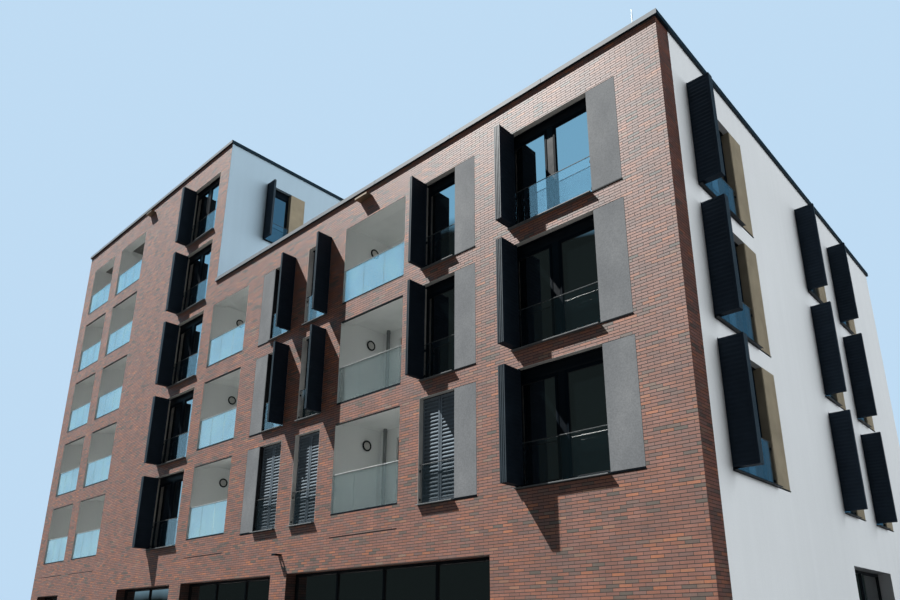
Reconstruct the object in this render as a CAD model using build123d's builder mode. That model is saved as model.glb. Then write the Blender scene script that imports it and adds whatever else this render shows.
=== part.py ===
"""Apartment block: a low block of four storeys and a high block of six, side by side.

All sizes are in millimetres. The origin is on the ground in the middle of the plan, +X runs
along the front to its right end, -Y is the front and +Z is up.
"""
import os
from collections import namedtuple

from build123d import *

# Storeys
ground_storey = 4300
storey = 2890
low_storeys = 3
high_storeys = 5
slab = 280
low_parapet = 495
high_parapet = 550

# Plan
depth = 15100
wall = 400
brick_return = 530
front_skin = 100

# Widths along the front, from its right end
corner_pier = 1020
wide_glazing = 2150
wide_panel = 700
pier_a = 1000
narrow_glazing = 1100
narrow_panel = 650
pier_b = 660
loggia_1_width = 2450
pier_c = 660
pier_d = 660
pier_e = 890
loggia_2_width = 2270
pier_f = 670
tower_glazing = 2070
tower_wall = 4140
loggia_3_width = 2430
pier_g = 750
loggia_4_width = 2250
end_pier = 780

# Windows
head_height = 2520
threshold = 20
sill_thickness = 30
sill_projection = 88
panel_sill_projection = 12
frame_setback = 180
frame_depth = 70
frame_width = 90
frame_head = 310
mullion = 320
pane_thickness = 30
widest_single = 1600
guard_height = 960
guard_thickness = 12
guard_setback = 45

# Shutters
leaf_thickness = 45
leaf_width = 530
leaf_setback = 130
stack_setback = 50
leaf_gap = 10
wide_leaves = 4
narrow_leaves = 2
shutter_clearance = 30

# Loggias
loggia_depth = 1550
loggia_side = 120
loggia_back = 200
upstand = 130
shoe_height = 50
shoe_depth = 90
balustrade_height = 1170
balustrade_glass = 17
rail_height = 25
rail_depth = 40
lintel_height = 45
lintel_projection = 8
lintel_depth = 110
loggia_door = 1500
loggia_door_height = 2330
loggia_door_margin = 300
lamp_radius = 150
lamp_tube = 22
lamp_setback = 1063
lamp_height = 2120
downpipe_radius = 50
downpipe_gap = 60
downpipe_place = 310

# Ground storey
shop_head = 3120
shop_setback = 300
shop_frame_depth = 80
shop_frame = 80
shop_mullion = 90
shop_bay = 1900
shop_1_pier = 4550
shop_1_width = 6890
shop_pier = 730
shop_3_width = 3850
shop_4_width = 2250
ground_slab = 150

# Copings
coping_overhang = 60
coping_inner = 60
fascia_height = 115
coping_slope_height = 40
coping_slope = 70
roof_build_up = 200

# Gables and rear
first_bay_margin = 1180
second_bay_margin = 7590
third_bay_margin = 10350
upper_bay_margin = 1630
gable_window_width = 3260
rear_margin = 1100
rear_spacing = 4150
rear_low_bays = 4
rear_high_bays = 3

# Small parts of the front
spout_width = 500
spout_height = 50
spout_projection = 205
low_spout_margin = 8660
high_spout_margin = 23230
bracket_width = 160
bracket_height = 40
bracket_projection = 205
bracket_level = 3600
bracket_hole_radius = 40
bracket_hole_setback = 90
rod_radius = 10
rod_height = 590
rod_margin = 590

# Worked out from the sizes above
wide_bay = wide_glazing + wide_panel
narrow_bay = narrow_glazing + narrow_panel
wide_start = corner_pier
narrow_1_start = wide_start + wide_bay + pier_a
loggia_1_start = narrow_1_start + narrow_bay + pier_b
narrow_2_start = loggia_1_start + loggia_1_width + pier_c
narrow_3_start = narrow_2_start + narrow_glazing + pier_d
loggia_2_start = narrow_3_start + narrow_bay + pier_e
low_length = loggia_2_start + loggia_2_width
tower_start = low_length + pier_f
loggia_3_start = tower_start + tower_glazing + tower_wall
loggia_4_start = loggia_3_start + loggia_3_width + pier_g
length = loggia_4_start + loggia_4_width + end_pier

low_top = ground_storey + low_storeys * storey + low_parapet
high_top = ground_storey + high_storeys * storey + high_parapet
low_rows = list(range(1, low_storeys + 1))
high_rows = list(range(1, high_storeys + 1))
upper_rows = [high_storeys]
party_x = length / 2 - low_length

# The faces of the walls: each sketch plane looks outwards, x to the right as seen from outside
front_face = Plane(origin=(-length / 2, -depth / 2, 0), x_dir=(1, 0, 0), z_dir=(0, -1, 0))
right_face = Plane(origin=(length / 2, -depth / 2, 0), x_dir=(0, 1, 0), z_dir=(1, 0, 0))
rear_face = Plane(origin=(length / 2, depth / 2, 0), x_dir=(-1, 0, 0), z_dir=(0, 1, 0))
left_face = Plane(origin=(-length / 2, depth / 2, 0), x_dir=(0, -1, 0), z_dir=(-1, 0, 0))
upper_face = Plane(origin=(party_x, -depth / 2, 0), x_dir=(0, 1, 0), z_dir=(1, 0, 0))

Bay = namedtuple("Bay", "face left glazing panel panel_side shutter_side rows shut")
Loggia = namedtuple("Loggia", "left width rows")


def floor_level(row):
    """Top of the floor of a storey above the ground storey, which is row 0."""
    return ground_storey + (row - 1) * storey


def from_right(start, width):
    """Left edge, on the front, of what starts at this distance from the right end."""
    return length - start - width


front_bays = [
    Bay(front_face, from_right(wide_start, wide_bay), wide_glazing, wide_panel,
        "right", "left", low_rows, []),
    Bay(front_face, from_right(narrow_1_start, narrow_bay), narrow_glazing, narrow_panel,
        "right", "left", low_rows, [1]),
    Bay(front_face, from_right(narrow_2_start, narrow_glazing), narrow_glazing, 0,
        "left", "right", low_rows, [1]),
    Bay(front_face, from_right(narrow_3_start, narrow_bay), narrow_glazing, narrow_panel,
        "left", "right", low_rows, [1]),
    Bay(front_face, from_right(tower_start, tower_glazing), tower_glazing, 0,
        "left", "left", high_rows, []),
]
right_bays = [
    Bay(right_face, first_bay_margin, wide_glazing, narrow_panel, "right", "left", low_rows, []),
    Bay(right_face, second_bay_margin, narrow_glazing, narrow_panel, "right", "left", low_rows, []),
    Bay(right_face, third_bay_margin, narrow_glazing, narrow_panel, "right", "left", low_rows, []),
]
upper_bays = [
    Bay(upper_face, start, narrow_glazing, narrow_panel, "right", "left", upper_rows, [])
    for start in (upper_bay_margin, second_bay_margin, third_bay_margin)
]
left_bays = [
    Bay(left_face, depth - first_bay_margin - wide_glazing - narrow_panel,
        wide_glazing, narrow_panel, "left", "right", high_rows, []),
    Bay(left_face, depth - second_bay_margin - narrow_bay,
        narrow_glazing, narrow_panel, "left", "right", high_rows, []),
    Bay(left_face, depth - third_bay_margin - narrow_bay,
        narrow_glazing, narrow_panel, "left", "right", high_rows, []),
]
rear_low = [
    Bay(rear_face, rear_margin + place * rear_spacing, wide_glazing, narrow_panel,
        "right", "left", low_rows, [])
    for place in range(rear_low_bays)
]
rear_high = [
    Bay(rear_face, rear_margin + place * rear_spacing, wide_glazing, narrow_panel,
        "right", "left", high_rows, [])
    for place in range(rear_low_bays, rear_low_bays + rear_high_bays)
]
side_bays = right_bays + upper_bays + left_bays + rear_low + rear_high

loggias = [
    Loggia(from_right(loggia_1_start, loggia_1_width), loggia_1_width, low_rows),
    Loggia(from_right(loggia_2_start, loggia_2_width), loggia_2_width, low_rows),
    Loggia(from_right(loggia_3_start, loggia_3_width), loggia_3_width, high_rows),
    Loggia(from_right(loggia_4_start, loggia_4_width), loggia_4_width, high_rows),
]

# Ground storey openings of the front, from its right end, and of the other walls
shop_2_start = shop_1_pier + shop_1_width + shop_pier
shop_2_width = low_length - shop_2_start
shop_3_start = low_length + shop_pier
shop_4_start = loggia_4_start
front_shops = [
    (from_right(shop_1_pier, shop_1_width), shop_1_width),
    (from_right(shop_2_start, shop_2_width), shop_2_width),
    (from_right(shop_3_start, shop_3_width), shop_3_width),
    (from_right(shop_4_start, shop_4_width), shop_4_width),
]
right_shops = [(second_bay_margin, gable_window_width)]
left_shops = [(depth - second_bay_margin - gable_window_width, gable_window_width)]
rear_shops = [(bay.left, wide_glazing) for bay in rear_low + rear_high]


def drawing(face, rectangles, behind=0):
    """Sketch of rectangles (left, bottom, width, height) on a plane behind a wall's face."""
    with BuildSketch(face.offset(-behind)) as sketch:
        for left, bottom, width, height in rectangles:
            with Locations((left + width / 2, bottom + height / 2)):
                Rectangle(width, height)
    return sketch.sketch


def save(part, name):
    """Label a finished piece and write it to its own file."""
    part.label = name
    export_step(part, "parts/" + name + ".step")


def hole(bay, row):
    """The opening in the wall for a window and its panel."""
    bottom = floor_level(row) + threshold
    return bay.left, bottom, bay.glazing + bay.panel, head_height - threshold


def glazed_left(bay):
    """Left edge of the part of the opening that the window fills."""
    return bay.left + (bay.panel if bay.panel_side == "left" else 0)


def panel_left(bay):
    """Left edge of the part of the opening that the panel fills."""
    return bay.left + (bay.glazing if bay.panel_side == "right" else 0)


def window(bay, row):
    """The window's frame, from jamb to jamb and from the sill to the head."""
    bottom = floor_level(row) + threshold + sill_thickness
    return glazed_left(bay), bottom, bay.glazing, floor_level(row) + head_height - bottom


def panes(bay, row):
    """The glass in a frame: one sheet, or in a wide one two with a mullion between them."""
    left, bottom, width, height = window(bay, row)
    inner = width - 2 * frame_width
    pane_height = height - frame_width - frame_head
    if width <= widest_single:
        return [(left + frame_width, bottom + frame_width, inner, pane_height)]
    sheet = (inner - mullion) / 2
    return [
        (left + frame_width, bottom + frame_width, sheet, pane_height),
        (left + frame_width + sheet + mullion, bottom + frame_width, sheet, pane_height),
    ]


def stack_width(bay):
    """Thickness of the folded shutter that stands at one jamb."""
    leaves = wide_leaves if bay.glazing > widest_single else narrow_leaves
    return leaves * leaf_thickness


def stack(bay, row):
    """The folded shutter, seen along the wall's face."""
    left, bottom, width, height = window(bay, row)
    thickness = stack_width(bay)
    edge = left if bay.shutter_side == "left" else left + width - thickness
    return edge, bottom + shutter_clearance, thickness, height - 2 * shutter_clearance


def guard(bay, row):
    """The guard glass in front of a window, beside the folded shutter."""
    left, bottom, width, _ = window(bay, row)
    free = 0 if row in bay.shut else stack_width(bay)
    start = left + (free if bay.shutter_side == "left" else 0)
    top = floor_level(row) + guard_height - rail_height
    return start, bottom, width - free, top - bottom


def windows(bays):
    """Every window of a group of bays, as pairs of bay and row."""
    return [(bay, row) for bay in bays for row in bay.rows]


def faces_of(bays):
    """The walls that a group of bays stands in, each named once."""
    found = []
    for bay in bays:
        if bay.face not in found:
            found.append(bay.face)
    return found


def lintel(loggia, row):
    """The steel angle at the head of a loggia, or set in the brick below the lowest one."""
    bottom = floor_level(row) + head_height - lintel_height
    return loggia.left, bottom, loggia.width, lintel_height


def wall_with_openings(face, outline, bays, shops):
    """A wall's solid with its windows and ground storey openings cut through."""
    with BuildPart() as built:
        extrude(drawing(face, [outline]), amount=-wall)
        holes = [hole(bay, row) for bay, row in windows(bays)]
        holes += [(left, 0, width, shop_head) for left, width in shops]
        extrude(drawing(face, holes), amount=-wall, mode=Mode.SUBTRACT)
    return built.part


def slab_between(left_x, right_x, top, thickness, name):
    """A level plate between the inner faces of the front and rear walls."""
    with BuildPart() as plate:
        with BuildSketch(Plane.XY.offset(top - thickness)):
            with Locations(((left_x + right_x) / 2, 0)):
                Rectangle(right_x - left_x, depth - 2 * wall)
        extrude(amount=thickness)
    save(plate.part, name)


os.makedirs("parts", exist_ok=True)

# Brick front of the low block: two window walls, with the corner pier in the first
right_wall_left = from_right(0, loggia_1_start)
middle_wall_left = from_right(narrow_2_start - pier_c, loggia_2_start - narrow_2_start + pier_c)
middle_wall_width = loggia_2_start - narrow_2_start + pier_c
with BuildPart() as front_wall_right:
    above_shops = (right_wall_left, shop_head, loggia_1_start, low_top - shop_head)
    extrude(drawing(front_face, [above_shops]), amount=-wall)
    holes = [hole(bay, row) for bay, row in windows(front_bays[0:2])]
    extrude(drawing(front_face, holes), amount=-wall, mode=Mode.SUBTRACT)
save(front_wall_right.part, "front_wall_right")

with BuildPart() as front_wall_middle:
    above_shops = (middle_wall_left, shop_head, middle_wall_width, low_top - shop_head)
    extrude(drawing(front_face, [above_shops]), amount=-wall)
    holes = [hole(bay, row) for bay, row in windows(front_bays[2:4])]
    extrude(drawing(front_face, holes), amount=-wall, mode=Mode.SUBTRACT)
save(front_wall_middle.part, "front_wall_middle")

# Brick front of the high block, rebated where the white gable comes forward over the roof
tower_width = loggia_3_start - low_length
tower_left = from_right(low_length, tower_width)
gable_foot = ground_storey + low_storeys * storey
with BuildPart() as front_wall_tower:
    above_shops = (tower_left, shop_head, tower_width, high_top - shop_head)
    extrude(drawing(front_face, [above_shops]), amount=-wall)
    holes = [hole(bay, row) for bay, row in windows(front_bays[4:5])]
    extrude(drawing(front_face, holes), amount=-wall, mode=Mode.SUBTRACT)
    rebate = (tower_left + tower_width - wall, gable_foot, wall, high_top - gable_foot)
    behind_skin = front_skin - wall
    extrude(drawing(front_face, [rebate], front_skin), amount=behind_skin, mode=Mode.SUBTRACT)
save(front_wall_tower.part, "front_wall_tower")

# Brick piers that stand by themselves: between the two far loggias and at the left end
pier_g_left = from_right(loggia_4_start - pier_g, pier_g)
with BuildPart() as front_piers:
    far_piers = [
        (pier_g_left, shop_head, pier_g, high_top - shop_head),
        (0, shop_head, end_pier, high_top - shop_head),
    ]
    extrude(drawing(front_face, far_piers), amount=-wall)
save(front_piers.part, "front_piers")

# Brick bands under, between and over the loggias
with BuildPart() as loggia_spandrels:
    bands = []
    for loggia in loggias:
        top = low_top if loggia.rows == low_rows else high_top
        lower = shop_head
        for row in loggia.rows:
            upper = floor_level(row) + upstand
            bands.append((loggia.left, lower, loggia.width, upper - lower))
            lower = floor_level(row) + head_height
        bands.append((loggia.left, lower, loggia.width, top - lower))
    extrude(drawing(front_face, bands), amount=-wall)
    grooves = [lintel(loggia, 0) for loggia in loggias]
    groove_depth = lintel_depth - lintel_projection
    extrude(drawing(front_face, grooves), amount=-groove_depth, mode=Mode.SUBTRACT)
save(loggia_spandrels.part, "loggia_spandrels")

# Brick piers of the ground storey, beside the shopfronts
with BuildPart() as shop_piers:
    edges = [0]
    for left, width in reversed(front_shops):
        edges += [left, left + width]
    edges.append(length)
    between = [(edges[i], 0, edges[i + 1] - edges[i], shop_head) for i in range(0, len(edges), 2)]
    extrude(drawing(front_face, between), amount=-wall)
save(shop_piers.part, "shop_piers")

# Brick returns round the two front corners
with BuildPart() as brick_returns:
    for face, left, top in ((right_face, wall, low_top),
                            (left_face, depth - brick_return, high_top)):
        strip = (left, 0, brick_return - wall, top)
        extrude(drawing(face, [strip]), amount=-wall)
save(brick_returns.part, "brick_returns")

# White rendered walls
right_outline = (brick_return, 0, depth - brick_return, low_top)
save(wall_with_openings(right_face, right_outline, right_bays, right_shops), "right_gable_wall")
left_outline = (0, 0, depth - brick_return, high_top)
save(wall_with_openings(left_face, left_outline, left_bays, left_shops), "left_gable_wall")
upper_outline = (front_skin, gable_foot, depth - wall - front_skin, high_top - gable_foot)
save(wall_with_openings(upper_face, upper_outline, upper_bays, []), "upper_gable_wall")
rear_low_outline = (wall, 0, low_length - wall, low_top)
rear_low_shops = [shop for shop in rear_shops if shop[0] < low_length]
rear_low_wall = wall_with_openings(rear_face, rear_low_outline, rear_low, rear_low_shops)
save(rear_low_wall, "rear_wall_low")
rear_high_outline = (low_length, 0, length - low_length - wall, high_top)
rear_high_shops = [shop for shop in rear_shops if shop[0] >= low_length]
rear_high_wall = wall_with_openings(rear_face, rear_high_outline, rear_high, rear_high_shops)
save(rear_high_wall, "rear_wall_high")

# Floors and roofs
inner_left = wall - length / 2
inner_right = length / 2 - wall
slab_between(inner_left, inner_right, ground_slab, ground_slab, "ground_floor_slab")
with BuildPart() as floor_slabs:
    for row in low_rows + [low_storeys + 1]:
        with BuildSketch(Plane.XY.offset(floor_level(row) - slab)):
            Rectangle(length - 2 * wall, depth - 2 * wall)
        extrude(amount=slab)
    for row in range(low_storeys + 2, high_storeys + 1):
        with BuildSketch(Plane.XY.offset(floor_level(row) - slab)):
            with Locations(((inner_left + party_x - wall) / 2, 0)):
                Rectangle(party_x - wall - inner_left, depth - 2 * wall)
        extrude(amount=slab)
save(floor_slabs.part, "floor_slabs")
low_roof_top = gable_foot + roof_build_up
high_roof_top = floor_level(high_storeys + 1) + roof_build_up
slab_between(party_x, inner_right, low_roof_top, roof_build_up, "low_roof")
slab_between(inner_left, party_x - wall, high_roof_top, slab + roof_build_up, "high_roof")


def coping_block(left_x, right_x, base):
    """Solid with a straight fascia and a top that slopes back, over a whole roof."""
    with BuildPart() as block:
        with BuildSketch(Plane.XY.offset(base)):
            with Locations(((left_x + right_x) / 2, 0)):
                Rectangle(right_x - left_x, depth + 2 * coping_overhang)
        extrude(amount=fascia_height)
        extrude(block.faces().sort_by(Axis.Z)[-1], amount=coping_slope_height, taper=coping_slope)
    return block.part


def inner_void(left_x, right_x, base):
    """Sketch of the space inside a ring of coping."""
    with BuildSketch(Plane.XY.offset(base)) as void:
        with Locations(((left_x + right_x) / 2, 0)):
            Rectangle(right_x - left_x, depth - 2 * wall - 2 * coping_inner)
    return void.sketch


coping_height = fascia_height + coping_slope_height
past_gable = party_x - depth / 2
with BuildPart() as low_coping:
    add(coping_block(past_gable, length / 2 + coping_overhang, low_top))
    void = inner_void(past_gable, inner_right - coping_inner, low_top)
    extrude(void, amount=coping_height, mode=Mode.SUBTRACT)
    split(bisect_by=Plane(origin=(party_x, 0, 0), z_dir=(1, 0, 0)), keep=Keep.TOP)
save(low_coping.part, "low_coping")

with BuildPart() as high_coping:
    add(coping_block(-length / 2 - coping_overhang, party_x + coping_overhang, high_top))
    void = inner_void(inner_left + coping_inner, party_x - wall - coping_inner, high_top)
    extrude(void, amount=coping_height, mode=Mode.SUBTRACT)
save(high_coping.part, "high_coping")

# Windows, panels and shutters of the brick front and of the white walls
for group, bays in (("front", front_bays), ("side", side_bays)):
    pairs = windows(bays)
    with BuildPart() as window_frames:
        for face in faces_of(bays):
            here = [pair for pair in pairs if pair[0].face == face]
            extrude(drawing(face, [window(*pair) for pair in here], frame_setback),
                    amount=-frame_depth)
            cuts = [pane for pair in here for pane in panes(*pair)]
            extrude(drawing(face, cuts, frame_setback), amount=-frame_depth, mode=Mode.SUBTRACT)
    save(window_frames.part, group + "_window_frames")

    with BuildPart() as window_glass:
        for face in faces_of(bays):
            sheets = [pane for pair in pairs if pair[0].face == face for pane in panes(*pair)]
            middle = frame_setback + (frame_depth - pane_thickness) / 2
            extrude(drawing(face, sheets, middle), amount=-pane_thickness)
    save(window_glass.part, group + "_window_glass")

    with BuildPart() as infill_panels:
        for face in faces_of(bays):
            boards = []
            for bay, row in pairs:
                if bay.face == face and bay.panel:
                    _, bottom, _, height = window(bay, row)
                    boards.append((panel_left(bay), bottom, bay.panel, height))
            extrude(drawing(face, boards), amount=-(frame_setback + frame_depth))
    save(infill_panels.part, group + "_infill_panels")

    with BuildPart() as open_shutters:
        for face in faces_of(bays):
            stacks = [stack(bay, row) for bay, row in pairs
                      if bay.face == face and row not in bay.shut]
            extrude(drawing(face, stacks, stack_setback - leaf_width), amount=-leaf_width)
    save(open_shutters.part, group + "_open_shutters")

# Sills and guards of all the windows
all_pairs = windows(front_bays + side_bays)
all_faces = faces_of(front_bays + side_bays)
with BuildPart() as window_sills:
    for face in all_faces:
        here = [pair for pair in all_pairs if pair[0].face == face]
        glazed = [(glazed_left(bay), floor_level(row) + threshold, bay.glazing, sill_thickness)
                  for bay, row in here]
        sill_depth = sill_projection + frame_setback + frame_depth
        extrude(drawing(face, glazed, -sill_projection), amount=-sill_depth)
        beside = [(panel_left(bay), floor_level(row) + threshold, bay.panel, sill_thickness)
                  for bay, row in here if bay.panel]
        if beside:
            sill_depth = panel_sill_projection + frame_setback + frame_depth
            extrude(drawing(face, beside, -panel_sill_projection), amount=-sill_depth)
save(window_sills.part, "window_sills")

with BuildPart() as guard_glass:
    for face in all_faces:
        sheets = [guard(*pair) for pair in all_pairs if pair[0].face == face]
        extrude(drawing(face, sheets, guard_setback), amount=-guard_thickness)
save(guard_glass.part, "guard_glass")

with BuildPart() as guard_rails:
    rail_front = guard_setback + guard_thickness / 2 - rail_depth / 2
    for face in all_faces:
        rails = []
        for bay, row in all_pairs:
            if bay.face == face:
                left, bottom, width, height = guard(bay, row)
                rails.append((left, bottom + height, width, rail_height))
        extrude(drawing(face, rails, rail_front), amount=-rail_depth)
save(guard_rails.part, "guard_rails")

# Closed shutters in the first row of the front: two leaves each
with BuildPart() as closed_shutters:
    leaves = []
    for bay, row in windows(front_bays):
        if row in bay.shut:
            left, bottom, width, height = window(bay, row)
            leaf = (width - leaf_gap) / 2
            leaves.append((left, bottom, leaf, height))
            leaves.append((left + leaf + leaf_gap, bottom, leaf, height))
    extrude(drawing(front_face, leaves, leaf_setback), amount=-leaf_thickness)
save(closed_shutters.part, "front_closed_shutters")

# Loggias
with BuildPart() as loggia_sides:
    for loggia in loggias:
        walls = []
        for row in loggia.rows:
            height = storey - slab
            walls.append((loggia.left - loggia_side, floor_level(row), loggia_side, height))
            walls.append((loggia.left + loggia.width, floor_level(row), loggia_side, height))
        side_depth = loggia_depth + loggia_back - wall
        extrude(drawing(front_face, walls, wall), amount=-side_depth)
save(loggia_sides.part, "loggia_side_walls")


def loggia_door_left(loggia):
    """Left edge of the glazed door in a loggia's back wall."""
    return loggia.left + loggia.width - loggia_door_margin - loggia_door


with BuildPart() as loggia_backs:
    for loggia in loggias:
        backs = [(loggia.left, floor_level(row), loggia.width, storey - slab)
                 for row in loggia.rows]
        extrude(drawing(front_face, backs, loggia_depth), amount=-loggia_back)
        doors = [(loggia_door_left(loggia), floor_level(row), loggia_door, loggia_door_height)
                 for row in loggia.rows]
        extrude(drawing(front_face, doors, loggia_depth), amount=-loggia_back, mode=Mode.SUBTRACT)
save(loggia_backs.part, "loggia_back_walls")

loggia_door_setback = loggia_depth + (loggia_back - frame_depth) / 2
with BuildPart() as loggia_door_frames:
    for loggia in loggias:
        outer = []
        inner = []
        for row in loggia.rows:
            left = loggia_door_left(loggia)
            base = floor_level(row)
            outer.append((left, base, loggia_door, loggia_door_height))
            inner.append((left + frame_width, base + frame_width,
                          loggia_door - 2 * frame_width, loggia_door_height - 2 * frame_width))
        extrude(drawing(front_face, outer, loggia_door_setback), amount=-frame_depth)
        extrude(drawing(front_face, inner, loggia_door_setback), amount=-frame_depth,
                mode=Mode.SUBTRACT)
save(loggia_door_frames.part, "loggia_door_frames")

with BuildPart() as loggia_door_glass:
    for loggia in loggias:
        sheets = [(loggia_door_left(loggia) + frame_width, floor_level(row) + frame_width,
                   loggia_door - 2 * frame_width, loggia_door_height - 2 * frame_width)
                  for row in loggia.rows]
        middle = loggia_door_setback + (frame_depth - pane_thickness) / 2
        extrude(drawing(front_face, sheets, middle), amount=-pane_thickness)
save(loggia_door_glass.part, "loggia_door_glass")

glass_setback = (shoe_depth - balustrade_glass) / 2
rail_setback = (shoe_depth - rail_depth) / 2
glass_foot = upstand + shoe_height
glass_top = balustrade_height - rail_height
with BuildPart() as balustrade_shoes:
    for loggia in loggias:
        shoes = [(loggia.left, floor_level(row) + upstand, loggia.width, shoe_height)
                 for row in loggia.rows]
        extrude(drawing(front_face, shoes), amount=-shoe_depth)
save(balustrade_shoes.part, "balustrade_shoes")

with BuildPart() as balustrade_panes:
    for loggia in loggias:
        sheets = [(loggia.left, floor_level(row) + glass_foot, loggia.width, glass_top - glass_foot)
                  for row in loggia.rows]
        extrude(drawing(front_face, sheets, glass_setback), amount=-balustrade_glass)
save(balustrade_panes.part, "balustrade_glass")

with BuildPart() as balustrade_rails:
    for loggia in loggias:
        rails = [(loggia.left, floor_level(row) + glass_top, loggia.width, rail_height)
                 for row in loggia.rows]
        extrude(drawing(front_face, rails, rail_setback), amount=-rail_depth)
save(balustrade_rails.part, "balustrade_rails")

# Steel angles under the brick bands over the loggias, and one set in under the lowest
with BuildPart() as steel_lintels:
    for loggia in loggias:
        heads = [lintel(loggia, row) for row in [0] + loggia.rows]
        extrude(drawing(front_face, heads, -lintel_projection), amount=-lintel_depth)
save(steel_lintels.part, "loggia_lintels")

# Ring lamps on the left wall of each loggia, and downpipes by the back wall. A downpipe drains
# the floor above it, so the top loggia of a column has none.
with BuildPart() as loggia_lamps:
    for loggia in loggias:
        for row in loggia.rows:
            centre_x = loggia.left - length / 2 + lamp_tube
            centre_y = lamp_setback - depth / 2
            centre_z = floor_level(row) + lamp_height
            with Locations(Location((centre_x, centre_y, centre_z), (0, 90, 0))):
                Torus(lamp_radius - lamp_tube, lamp_tube)
save(loggia_lamps.part, "loggia_lamps")

with BuildPart() as downpipes:
    for loggia in loggias:
        centre_x = loggia.left - length / 2 + downpipe_place
        centre_y = loggia_depth - downpipe_gap - downpipe_radius - depth / 2
        for row in loggia.rows[:-1]:
            with BuildSketch(Plane.XY.offset(floor_level(row))):
                with Locations((centre_x, centre_y)):
                    Circle(downpipe_radius)
            extrude(amount=storey - slab)
save(downpipes.part, "downpipes")


# Shopfronts and ground storey windows
def shop_panes(left, width):
    """The sheets of glass of one shopfront, of equal width."""
    bays = max(1, round(width / shop_bay))
    sheet = (width - 2 * shop_frame - (bays - 1) * shop_mullion) / bays
    bottom = ground_slab + shop_frame
    height = shop_head - shop_frame - bottom
    return [(left + shop_frame + place * (sheet + shop_mullion), bottom, sheet, height)
            for place in range(bays)]


shop_faces = ((front_face, front_shops), (right_face, right_shops),
              (left_face, left_shops), (rear_face, rear_shops))
with BuildPart() as shop_frames:
    for face, shops in shop_faces:
        outer = [(left, 0, width, shop_head) for left, width in shops]
        extrude(drawing(face, outer, shop_setback), amount=-shop_frame_depth)
        inner = [pane for shop in shops for pane in shop_panes(*shop)]
        extrude(drawing(face, inner, shop_setback), amount=-shop_frame_depth, mode=Mode.SUBTRACT)
save(shop_frames.part, "shop_frames")

with BuildPart() as shop_glass:
    for face, shops in shop_faces:
        sheets = [pane for shop in shops for pane in shop_panes(*shop)]
        middle = shop_setback + (shop_frame_depth - pane_thickness) / 2
        extrude(drawing(face, sheets, middle), amount=-pane_thickness)
save(shop_glass.part, "shop_glass")

# Spouts at roof level under the copings, a bracket over a pier and the rod on the low roof
with BuildPart() as roof_spouts:
    spouts = [
        (from_right(low_spout_margin, spout_width), low_roof_top, spout_width, spout_height),
        (from_right(high_spout_margin, spout_width), high_roof_top, spout_width, spout_height),
    ]
    extrude(drawing(front_face, spouts, -spout_projection), amount=-spout_projection)
save(roof_spouts.part, "roof_spouts")

pier_middle = from_right(shop_1_pier + shop_1_width, shop_pier) + shop_pier / 2
with BuildPart() as lamp_bracket:
    bracket = (pier_middle - bracket_width / 2, bracket_level, bracket_width, bracket_height)
    extrude(drawing(front_face, [bracket], -bracket_projection), amount=-bracket_projection)
    with BuildSketch(Plane.XY.offset(bracket_level)):
        with Locations((pier_middle - length / 2, -depth / 2 - bracket_hole_setback)):
            Circle(bracket_hole_radius)
    extrude(amount=bracket_height, mode=Mode.SUBTRACT)
save(lamp_bracket.part, "lamp_bracket")

with BuildPart() as roof_rod:
    with BuildSketch(Plane.XY.offset(low_top + coping_height)):
        with Locations((length / 2 - rod_margin, (wall - depth) / 2)):
            Circle(rod_radius)
    extrude(amount=rod_height)
save(roof_rod.part, "roof_rod")
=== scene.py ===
"""Looks of the apartment block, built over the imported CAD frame. Lengths are in metres.

Details are drawn on the walls: every wall has an origin at its foot, a direction along it (to
the right as seen from outside), up, and a direction out of it. A point on a wall is
(along, up, out), and out is negative behind the wall's face.
"""
import math
from collections import namedtuple

import bmesh
import bpy
import numpy as np
from mathutils import Matrix, Vector


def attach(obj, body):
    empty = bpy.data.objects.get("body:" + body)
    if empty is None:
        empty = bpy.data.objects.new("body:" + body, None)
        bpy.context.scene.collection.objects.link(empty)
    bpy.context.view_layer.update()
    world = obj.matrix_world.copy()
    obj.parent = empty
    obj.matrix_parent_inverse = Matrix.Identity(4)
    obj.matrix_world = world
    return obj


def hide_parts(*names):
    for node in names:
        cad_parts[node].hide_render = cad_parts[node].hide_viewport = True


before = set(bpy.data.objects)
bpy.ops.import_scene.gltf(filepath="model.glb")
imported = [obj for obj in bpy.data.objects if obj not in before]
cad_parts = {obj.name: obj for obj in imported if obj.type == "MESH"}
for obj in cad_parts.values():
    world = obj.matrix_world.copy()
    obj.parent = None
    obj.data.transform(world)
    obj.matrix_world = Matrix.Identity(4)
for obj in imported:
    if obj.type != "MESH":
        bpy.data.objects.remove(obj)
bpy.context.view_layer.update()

# Sizes shared with the CAD model
length = 30.15
depth = 15.10
party_x = -1.985
low_top = 13.465
high_top = 19.30
shop_head = 3.12
leaf_setback = 0.13
leaf_thickness = 0.045
sill_projection = 0.088
panel_sill_projection = 0.012
coping_overhang = 0.06
fascia_height = 0.115

# Sizes of the finer detail
brick_length = 0.25
brick_course = 0.0625
brick_joint = 0.013
brick_stretch = 1.7  # widens the brick texture, which thins its upright joints
chamfer = 0.004
fine_edge = 0.0015
slat_pitch = 0.0855
slat_rise = 0.62 * slat_pitch  # from the outer edge of a slat to its inner edge
slat_lip = 0.022
slat_thickness = 0.008
slat_depth = 0.008
stile = 0.055
closed_rail = 0.09
hinge_inset = 0.012
hinge_radius = 0.007
hinge_reach = 0.045
hinge_places = (0.12, 0.5, 0.88)  # shares of the height, as for clamps and collars
sash = 0.045
window_sash = 0.075
sash_proud = 0.010
frame_edge = 0.006
glass_lap = 0.004
handle_inset = 0.045
handle_height = 1.05
kick_height = 0.14
sill_lip = 0.030
sill_sheet = 0.006
rib_pitch = 0.05
rib_depth = 0.014
board_gap = 0.006
board_thickness = 0.018
lining = 0.003
guide_height = 0.026
clamp_reach = 0.032
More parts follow.
